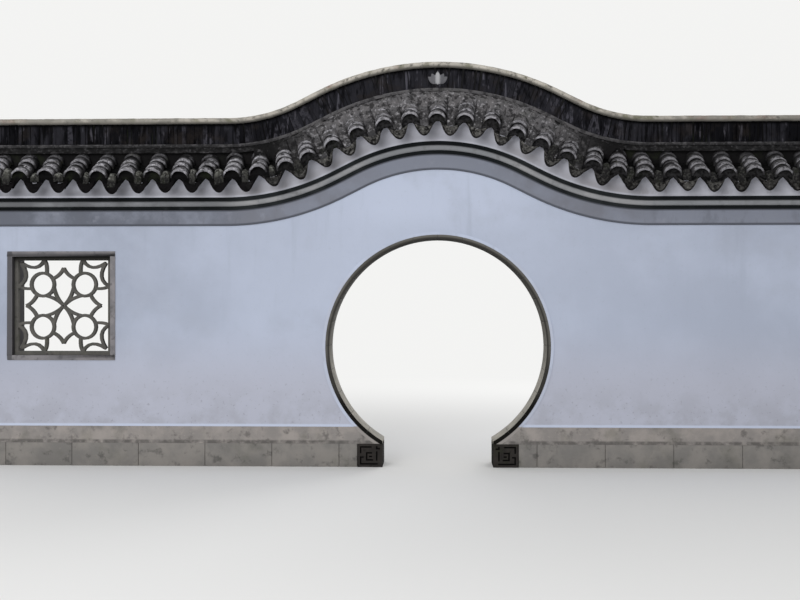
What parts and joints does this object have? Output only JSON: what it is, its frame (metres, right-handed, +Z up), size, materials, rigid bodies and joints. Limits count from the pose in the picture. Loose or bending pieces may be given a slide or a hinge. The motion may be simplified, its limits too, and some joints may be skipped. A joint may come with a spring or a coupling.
{
  "type": "garden wall with a moon gate",
  "caption": "Rendered garden wall with a round moon gate, square lattice window and a tiled coping that rises in a wave over the gate.",
  "frame": {"origin": "on the ground under the centre of the gate, midway through the wall", "axes": "+X along the wall, +Y through the wall away from the pictured face, +Z up"},
  "size_m": [10.08, 0.8596, 4.0871],
  "materials": {
    "white_plaster": "white lime render with soft weather stains",
    "pale_plaster": "pale weathered render",
    "grey_plaster": "grey painted render band",
    "dark_line": "black painted line",
    "ring_stone": "dark weathered stone",
    "foot_stone": "dark carved stone",
    "plinth_stone": "grey stone slabs",
    "plinth_render": "brownish rendered course",
    "window_stone": "grey cast stone",
    "roof_mortar": "weathered mortar",
    "cover_tile": "grey clay tile with lichen",
    "pan_tile": "dark damp clay tile",
    "ridge_tile": "near black tiles on edge",
    "ridge_mortar": "pale rounded mortar cap",
    "carved_plaster": "pale carved plaster"
  },
  "bodies": {
    "root": {"left_bay_wall": "white_plaster", "left_gate_pier": "white_plaster", "right_gate_pier": "white_plaster", "left_gate_haunch": "white_plaster", "right_gate_haunch": "white_plaster", "right_bay_wall": "white_plaster", "left_plinth": "plinth_stone", "right_plinth": "plinth_stone", "left_plinth_cap": "plinth_render", "right_plinth_cap": "plinth_render", "left_foot_stone": "foot_stone", "right_foot_stone": "foot_stone", "ring_lining": "ring_stone", "front_ring_margin": "white_plaster", "back_ring_margin": "white_plaster", "window_lintel": "window_stone", "window_sill": "window_stone", "window_jambs": "window_stone", "window_lattice": "window_stone", "front_grey_band": "grey_plaster", "back_grey_band": "grey_plaster", "front_dark_lines": "dark_line", "back_dark_lines": "dark_line", "front_moulding": "pale_plaster", "back_moulding": "pale_plaster", "front_frieze": "pale_plaster", "back_frieze": "pale_plaster", "roof_bed": "roof_mortar", "front_cover_tiles": "cover_tile", "back_cover_tiles": "cover_tile", "front_pan_tiles": "pan_tile", "back_pan_tiles": "pan_tile", "ridge_base": "roof_mortar", "front_ridge_fillet": "roof_mortar", "back_ridge_fillet": "roof_mortar", "ridge_tile_band": "ridge_tile", "ridge_cap": "ridge_mortar", "front_ridge_bud": "carved_plaster", "back_ridge_bud": "carved_plaster"}
  },
  "joints": []
}
